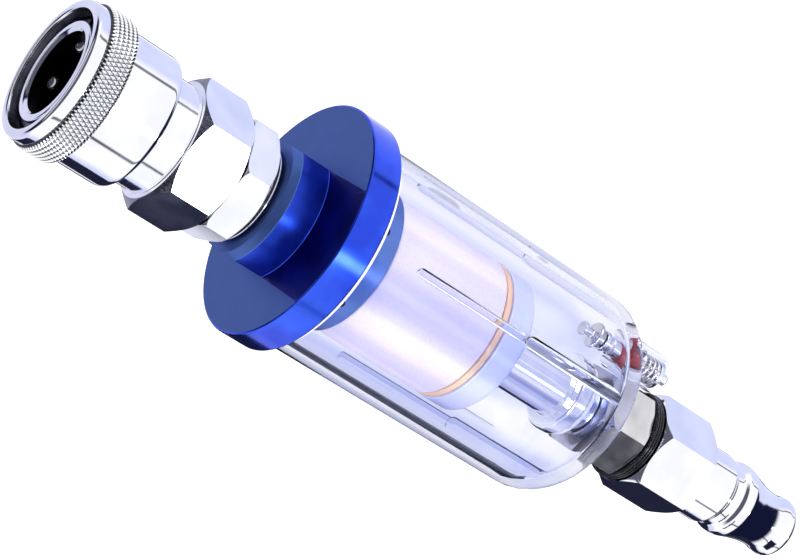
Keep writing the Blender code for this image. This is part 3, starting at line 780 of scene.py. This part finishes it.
def bowl():
    """The clear bowl with its ribs, drain boss and seal."""
    r, high = -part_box("bowl")[0][0] / MM, top("bowl")
    inner = r - BOWL_WALL
    steps = [math.radians(90 * k / 10) for k in range(11)]
    outside = [(r - BOWL_FILLET * (1 - math.cos(a)), BOWL_END + BOWL_FILLET * (1 - math.sin(a)))
               for a in steps]
    bend = BOWL_FILLET - BOWL_WALL
    inside = [(inner - bend * (1 - math.cos(a)), BOWL_FLOOR + bend * (1 - math.sin(a)))
              for a in reversed(steps)]
    item = turned("clear_bowl", [(inner, high, 0.2), (r, high, 0.4)] + outside
                  + [(5.3, BOWL_END, 0.1), (5.3, BOWL_FLOOR, 0.1)] + inside, FINEST)
    for k in range(RIB_COUNT):
        a = RIB_FIRST_ANGLE + RIB_PITCH * k
        for width, depth, rib_top in ((1.5, 1.3, -63.9), (2.4, 1.7, -88.0)):
            boolean(item, rib(a, inner, width, depth, rib_top, BOWL_FLOOR + 1.5), "UNION")
    drain_at, boss_low = (middle("drain_pin")[0], 0, 0), bottom("bowl")
    boss_high, bore_high = BOWL_FLOOR - 0.6, BOWL_FLOOR + 3.0
    lip_low, bore_low = DRAIN_LIP - 0.8, boss_low - 1
    boss = turned("drain_boss", [(0.0, boss_high), (DRAIN_BOSS_R, boss_high), (DRAIN_BOSS_R, boss_low, 0.9),
                                 (0.0, boss_low)], SMALL, at=drain_at)
    boolean(item, boss, "UNION")
    bore = turned("drain_bore", [(0.0, bore_high), (2.4, bore_high), (2.4, DRAIN_LIP), (1.35, DRAIN_LIP),
                                 (1.35, lip_low), (2.95, lip_low), (2.95, bore_low), (0.0, bore_low)],
                  48, at=drain_at)
    boolean(item, bore, "DIFFERENCE")
    smooth(item, 35.0)
    item.data.materials.clear()
    item.data.materials.append(CLEAR)
    second_material(item, CLEAR_RIB, lambda c, n: math.hypot(c.x, c.y) < inner - 0.05
                    and BOWL_FLOOR + 7.0 < c.z and c.x > 0 and is_rib(c))
    second_material(item, CLEAR_BOSS, lambda c, n: c.z < BOWL_END - 0.1)
    place(item, "bowl")
    ring_high, ring_low = top("bowl_seal"), bottom("bowl_seal")
    seal_r = reach("bowl_seal")
    seal = turned("bowl_rim_seal", [(seal_r, ring_high, 0.25), (seal_r, ring_low, 0.25), (16.75, ring_low),
                                    (16.75, ring_high)], FINEST)
    place(seal, "bowl_seal", WHITE_SEAL)


def is_rib(spot):
    """Whether a point inside the bowl's wall lies on one of the five ribs."""
    around = (math.degrees(math.atan2(spot.y, spot.x)) - RIB_FIRST_ANGLE) % RIB_PITCH
    return min(around, RIB_PITCH - around) < RIB_FACE_ANGLE


def rib(angle, wall_r, width, depth, high, low):
    """A slender rib on the bowl's wall with a round-nosed top."""
    half = width / 2
    section = [(-half, 0.0), (-half, depth - half)]
    section += [(-half * math.cos(math.pi * k / 8), depth - half + half * math.sin(math.pi * k / 8))
                for k in range(1, 8)]
    section += [(half, depth - half), (half, 0.0), (half, -0.6), (-half, -0.6)]
    levels = [(low, 1.0)] + [(high - half * (1 - math.sin(math.pi / 2 * k / 5)),
                              math.cos(math.pi / 2 * k / 5) * 0.9 + 0.1) for k in range(6)]
    verts, faces = [], []
    turn = Matrix.Rotation(math.radians(angle), 3, "Z")
    for z, shrink in levels:
        for x, y in section:
            verts.append(turn @ Vector((wall_r - y * (shrink if y > 0 else 1.0), x * shrink, z)))
    n = len(section)
    for i in range(len(levels) - 1):
        for k in range(n):
            m = (k + 1) % n
            faces.append((i * n + k, i * n + m, (i + 1) * n + m, (i + 1) * n + k))
    faces += [tuple(range(n)), tuple(range((len(levels) - 1) * n, len(levels) * n))]
    return mesh_object("rib_cutter", verts, faces)


def filter_stack():
    """The porous element with its gasket and cap."""
    high, low, r = top("filter_element"), bottom("filter_element"), reach("filter_element")
    place(turned("sintered_element", [(r, high, 0.4), (r, low, 0.4), (7.8, low, 0.2), (7.8, high, 0.2)]),
          "filter_element", ELEMENT)
    high, low, r = top("element_gasket"), bottom("element_gasket"), reach("element_gasket")
    place(turned("fibre_gasket", [(r, high, 0.2), (r, low, 0.2), (5.6, low), (5.6, high)]),
          "element_gasket", ORANGE)
    high, low, r = top("element_cap"), bottom("element_cap"), reach("element_cap")
    place(turned("end_cap", [(r, high, 0.3), (r, low + 1.0, 0.3), (r - 1.0, low, 0.4), (8.4, low, 0.2),
                             (8.2, low + 0.8, 0.2), (5.8, low + 0.8, 0.2), (5.6, low, 0.2), (4.6, low),
                             (4.6, high)]), "element_cap", CAP)


def tube():
    """The tube up the middle, and the seal under its foot."""
    high, foot_r = top("centre_tube"), reach("centre_tube")
    low, shoulder = bottom("centre_tube"), bottom("element_cap") - GAP
    foot_low = top("floor_seal") + GAP
    foot_high = foot_low + 2.4
    item = turned("centre_pipe", [
        (TUBE_UPPER_R, high, 0.3), (TUBE_UPPER_R, shoulder), (TUBE_R, shoulder, 0.2),
        (TUBE_R, foot_high, 0.4), (foot_r, foot_high, 0.8), (foot_r, foot_low, 0.3), (4.95, foot_low),
        (4.95, low, 0.4), (TUBE_BORE_R, low), (TUBE_BORE_R, high)], MEDIUM)
    for i in range(3):
        a = 60.0 * i
        boolean(item, rod(INLET_R, polar(-6.0, a, INLET_Z), polar(6.0, a, INLET_Z), 24), "DIFFERENCE")
    smooth(item, 35.0)
    place(item, "centre_tube", CHROME)
    high, low, r = top("floor_seal"), bottom("floor_seal"), reach("floor_seal")
    place(turned("floor_ring", [(r, high, 0.25), (r, low, 0.25), (5.3, low), (5.3, high)], MEDIUM),
          "floor_seal", WHITE_SEAL)


# ---------------------------------------------------------------- lower end

def bottom_nut():
    """The nut under the bowl, and the ribbed seal round its thread."""
    high, low = top("bottom_nut"), bottom("bottom_nut")
    apothem, facing = flat_of("nut_spanner_flat")
    corner = apothem / math.cos(math.pi / 6)
    hex_low = top("plug_seal") + GAP
    item = turned("clamp_nut", [
        (corner - 0.9, high), (corner, high - 0.5), (corner, hex_low + 0.7), (corner - 1.0, hex_low),
        (NUT_THREAD_R, hex_low), (NUT_THREAD_R, low, 0.4), (3.4, low), (3.4, NUT_FLOOR), (5.2, NUT_FLOOR),
        (5.2, high)])
    boolean(item, prism(apothem, facing, low - 5, high + 5), "INTERSECT")
    item.data.materials.append(CHROME_ROUGH)
    bevel(item, 0.25, segments=3, edge_material=CHROME)
    place(item, "bottom_nut")
    high, low, r = top("plug_seal"), bottom("plug_seal"), reach("plug_seal")
    lips = []
    for k in range(3):
        z = high - (high - low) * k / 3
        lips += [(r - 0.35, z), (r, z - 0.12, 0.08), (r, z - 0.40, 0.08), (r - 0.35, z - 0.50)]
    place(turned("ribbed_seal", lips + [(6.8, low), (6.8, high)], MEDIUM), "plug_seal", RUBBER)


def plug():
    """The coupler plug: hexagon, neck, ball groove and tip."""
    high, low = top("plug"), bottom("plug")
    apothem, facing = flat_of("plug_spanner_flat")
    corner = apothem / math.cos(math.pi / 6)
    hex_low = low + 24.6
    waist = [(5.35 + 0.85 * (1 - math.sin(math.pi / 2 * k / 8)), low + 9.6 - 5.4 * k / 8) for k in range(9)]
    item = turned("hose_plug", [
        (corner - 1.3, high), (corner, high - 1.2), (corner, hex_low + 1.5), (corner - 1.9, hex_low),
        (6.8, hex_low, 0.3), (6.8, low + 17.7, 0.3), (6.1, low + 17.0, 0.4), (6.1, low + 15.0, 0.4),
        (7.0, low + 14.1, 0.4), (7.0, low + 12.1, 0.5)] + waist
        + [(5.35, low + 3.4, 0.8), (5.7, low + 1.9, 0.3), (5.7, low + 0.5, 0.4), (5.2, low, 0.3),
           (PLUG_BORE_R, low, 0.3), (PLUG_BORE_R, high - 8.4), (6.8, high - 8.4), (6.8, high)], arc_steps=6)
    boolean(item, prism(apothem, facing, low - 5, high + 5), "INTERSECT")
    item.data.materials.clear()
    item.data.materials.append(CHROME)
    # The dark bevel material paints dark reflection along the hexagon's edges.
    bevel(item, 0.16, edge_material=EDGE_PAINTED_DARK_REFLECTION)
    # Painted shade: the plug's bore gets a near-black metal.
    second_material(item, BORE_PAINTED_SHADE, lambda c, n: math.hypot(c.x, c.y) < PLUG_BORE_R + 0.05
                    and c.z > low + 0.4)
    place(item, "plug")


# ---------------------------------------------------------------- drain

def drain():
    """The drain's pin, knob, ring and small spring."""
    x = middle("drain_pin")[0]
    here = (x, 0, 0)
    place(turned("drain_stem", [
        (0.0, -110.1), (1.0, -110.1), (1.0, -111.0, 0.1), (1.9, -111.0, 0.2), (1.9, -111.9, 0.3),
        (1.5, -112.3, 0.2), (1.5, -112.9, 0.2), (1.9, -113.3, 0.3), (1.9, -115.6, 0.2), (1.0, -115.6),
        (1.0, -123.8), (2.6, -123.8, 0.1), (2.6, -124.6, 0.1), (1.0, -124.6), (1.0, -127.2, 0.3),
        (0.0, -127.2)], SMALL, at=here), "drain_pin", CHROME)
    place(turned("drain_knob_head", [
        (0.0, -106.4), (1.3, -106.4, 0.2), (1.3, -106.95, 0.25), (0.75, -107.2, 0.2), (0.75, -108.6, 0.3),
        (2.2, -109.0, 0.3), (2.4, -109.3, 0.1), (2.4, -109.5, 0.1), (1.8, -109.8, 0.2), (1.8, -110.7, 0.2),
        (1.25, -110.7), (1.25, -109.8), (0.0, -109.8)], SMALL, at=here), "drain_knob", KNOB_STEEL)
    high, low = top("drain_seal"), bottom("drain_seal")
    place(turned("drain_ring", [(2.25, high, 0.3), (2.25, low, 0.3), (1.2, low, 0.1), (1.2, high, 0.1)],
                 SMALL, at=here), "drain_seal", RED)
    spring("drain_return_coil", "drain_spring", 2.2, 0.28, 3.0,
           at=(x, 0.0))


# ---------------------------------------------------------------- studio

def studio():
    """Pale floor, white surround, two soft lamps and the boards that only reflections see."""
    scene = bpy.context.scene
    scene.view_settings.view_transform = "Standard"
    floor_mesh = bpy.data.meshes.new("floor")
    corners = [(-1, -1), (1, -1), (1, 1), (-1, 1)]
    floor_mesh.from_pydata([(x * FLOOR_SIZE, y * FLOOR_SIZE, FLOOR_LEVEL) for x, y in corners], [],
                           [(0, 1, 2, 3)])
    floor = bpy.data.objects.new("floor", floor_mesh)
    scene.collection.objects.link(floor)
    material, _, shader = new_material("pale_floor")
    shader.inputs["Base Color"].default_value = (0.86, 0.86, 0.88, 1.0)
    shader.inputs["Roughness"].default_value = 0.9
    shader.inputs["Emission Color"].default_value = (1.0, 1.0, 1.0, 1.0)
    shader.inputs["Emission Strength"].default_value = 0.45
    floor_mesh.materials.append(material)
    floor.visible_glossy = False
    floor.visible_transmission = False
    world = bpy.data.worlds.new("studio")
    scene.world = world
    world.use_nodes = True
    surround(world.node_tree)
    lamp("key_softbox", (-0.25, -0.55, 0.65), 0.45, 6.0)
    lamp("fill_softbox", (0.6, -0.3, 0.3), 0.5, 3.0)
    flag("coupler_side_flag", 124, 158, -0.098, -0.020, NAVY)
    flag("coupler_back_flag", 66, 118, -0.098, -0.030, GREY)
    flag("plug_side_flag", 124, 158, -0.300, -0.186, NAVY)
    flag("plug_back_flag", 66, 118, -0.300, -0.186, GREY)
    flag("nut_flag", -172, -130, -0.212, -0.168, NAVY)
    flag("bowl_side_flag", 104, 150, -0.186, -0.098, NAVY)
    flag("inner_side_flag", 114, 146, -0.198, -0.100, NAVY, behind_glass=True)


def lamp(name, spot, size, watts):
    """A square soft lamp that points at the filter and leaves no bright patch in its metal."""
    data = bpy.data.lights.new(name, "AREA")
    data.shape = "SQUARE"
    data.size = size
    data.energy = watts
    item = bpy.data.objects.new(name, data)
    item.location = spot
    item.rotation_euler = (Vector((0, 0, -0.08)) - Vector(spot)).to_track_quat("-Z", "Y").to_euler()
    item.visible_glossy = False
    bpy.context.scene.collection.objects.link(item)


def flag(name, start, end, low, high, colour, behind_glass=False):
    """A curved upright board that only bare reflections see, or only rays through the bowl."""
    steps = 8
    mesh = bpy.data.meshes.new(name)
    angles = [math.radians(start + (end - start) * k / steps) for k in range(steps + 1)]
    verts = [(FLAG_DISTANCE * math.cos(a), FLAG_DISTANCE * math.sin(a), z)
             for a in angles for z in (low, high)]
    mesh.from_pydata(verts, [], [(2 * k, 2 * k + 2, 2 * k + 3, 2 * k + 1) for k in range(steps)])
    board = bpy.data.objects.new(name, mesh)
    bpy.context.scene.collection.objects.link(board)
    material, _, shader = new_material(name)
    shader.inputs["Base Color"].default_value = (*BLACK, 1.0)
    shader.inputs["Roughness"].default_value = 1.0
    shader.inputs["Emission Color"].default_value = (*colour, 1.0)
    shader.inputs["Emission Strength"].default_value = 1.0
    mesh.materials.append(material)
    board.visible_camera = False
    board.visible_diffuse = False
    board.visible_glossy = not behind_glass
    board.visible_transmission = behind_glass
    board.visible_shadow = False


def by_azimuth(tree, angle, cards):
    """Colour cards round the horizon, given as (azimuth in degrees, colour) stops."""
    return ramp(tree, angle, [((azimuth + 180) / 360, colour) for azimuth, colour in cards])


def mixed(tree, share, one, other):
    """one where share is 0 and other where it is 1; each is a colour or an output."""
    made = node(tree, "ShaderNodeMix", data_type="RGBA")
    tree.links.new(share, made.inputs["Factor"])
    for socket, value in (("A", one), ("B", other)):
        if isinstance(value, tuple):
            made.inputs[socket].default_value = (*value, 1.0)
        else:
            tree.links.new(value, made.inputs[socket])
    return made.outputs["Result"]


def surround(tree):
    """White studio for the eye; reflections see dark and pale cards, and glass sees a soft version."""
    coords = node(tree, "ShaderNodeTexCoord")
    split = node(tree, "ShaderNodeSeparateXYZ")
    tree.links.new(coords.outputs["Generated"], split.inputs["Vector"])
    turn = node(tree, "ShaderNodeMath", operation="ARCTAN2")
    tree.links.new(split.outputs["Y"], turn.inputs[0])
    tree.links.new(split.outputs["X"], turn.inputs[1])
    angle = node(tree, "ShaderNodeMapRange")
    angle.inputs["From Min"].default_value = -math.pi
    angle.inputs["From Max"].default_value = math.pi
    tree.links.new(turn.outputs["Value"], angle.inputs["Value"])
    angle = angle.outputs["Result"]
    height = node(tree, "ShaderNodeMapRange")
    height.inputs["From Min"].default_value = -1.0
    tree.links.new(split.outputs["Z"], height.inputs["Value"])
    height = height.outputs["Result"]

    level_cards = by_azimuth(tree, angle, [
        (-180, WHITE), (-151, WHITE), (-149, GREY), (-146, GREY), (-144, WHITE), (-100, WHITE),
        (-96, STRIP), (-91, STRIP), (-87, WHITE), (-14, WHITE), (-12, GREY),
        (-9, GREY), (-7, WHITE), (6, PALE), (58, PALE), (72, WHITE), (112, WHITE), (124, PALE),
        (158, PALE), (170, WHITE), (180, WHITE)])
    low_cards = by_azimuth(tree, angle, [
        (-180, NAVY), (-14, NAVY), (-6, PALE), (64, PALE), (80, GREY), (112, GREY), (124, NAVY), (180, NAVY)])
    below = ramp(tree, height, [(0.135, WHITE), (0.165, BLACK)])
    cards = mixed(tree, below, level_cards, low_cards)
    up = ramp(tree, height, [(0.5, (0.70, 0.71, 0.86)), (0.77, (0.62, 0.64, 0.84)), (0.80, NAVY),
                             (0.90, NAVY), (0.93, WHITE)])
    behind = ramp(tree, split.outputs["Y"], [(0.2, BLACK), (0.35, WHITE)])
    above_front = ramp(tree, height, [(0.76, WHITE), (0.81, GREY), (0.98, GREY)])
    above = mixed(tree, behind, above_front, up)
    horizon = ramp(tree, height, [(0.5, BLACK), (0.54, WHITE)])
    mirror = mixed(tree, horizon, cards, above)

    glass_cards = by_azimuth(tree, angle, [
        (-180, SOFT), (-150, SOFT), (-140, HAZE), (-128, HAZE), (-118, WHITE), (-100, WHITE), (-96, GLEAM),
        (-91, GLEAM), (-87, WHITE), (-40, WHITE), (-10, SOFT),
        (8, HAZE), (30, HAZE), (52, SOFT), (74, WHITE), (106, WHITE), (117, SOFT), (134, HAZE),
        (152, HAZE), (168, SOFT), (180, SOFT)])
    through = mixed(tree, horizon, glass_cards, WHITE)

    path = node(tree, "ShaderNodeLightPath")
    sides = mixed(tree, path.outputs["Is Transmission Ray"], mirror, through)
    plain = node(tree, "ShaderNodeMath", operation="MAXIMUM")
    tree.links.new(path.outputs["Is Camera Ray"], plain.inputs[0])
    tree.links.new(path.outputs["Is Diffuse Ray"], plain.inputs[1])
    background = tree.nodes["Background"]
    background.inputs["Strength"].default_value = 1.15
    tree.links.new(mixed(tree, plain.outputs["Value"], sides, WHITE), background.inputs["Color"])


def camera():
    """The photograph's camera: long lens, looking down on the filter, which runs down to the right."""
    data = bpy.data.cameras.new("camera")
    data.lens = LENS
    data.sensor_width = 36.0
    data.clip_start = 0.01
    item = bpy.data.objects.new("camera", data)
    back = Vector(CAMERA_BACK).normalized()
    up = back.cross(Vector(CAMERA_RIGHT)).normalized()
    right = up.cross(back)
    turn = Matrix((right, up, back)).transposed().to_4x4()
    item.matrix_world = Matrix.Translation(CAMERA_PLACE) @ turn
    bpy.context.scene.collection.objects.link(item)
    bpy.context.scene.camera = item


sleeve()
socket_body()
socket_small_parts()
spring("sleeve_return_coil", "sleeve_spring", 9.15, 0.4, 3.0)
spring("valve_return_coil", "valve_spring", 5.4, 0.45, 3.0)
adapter()
head()
bowl()
filter_stack()
tube()
bottom_nut()
plug()
drain()
studio()
camera()
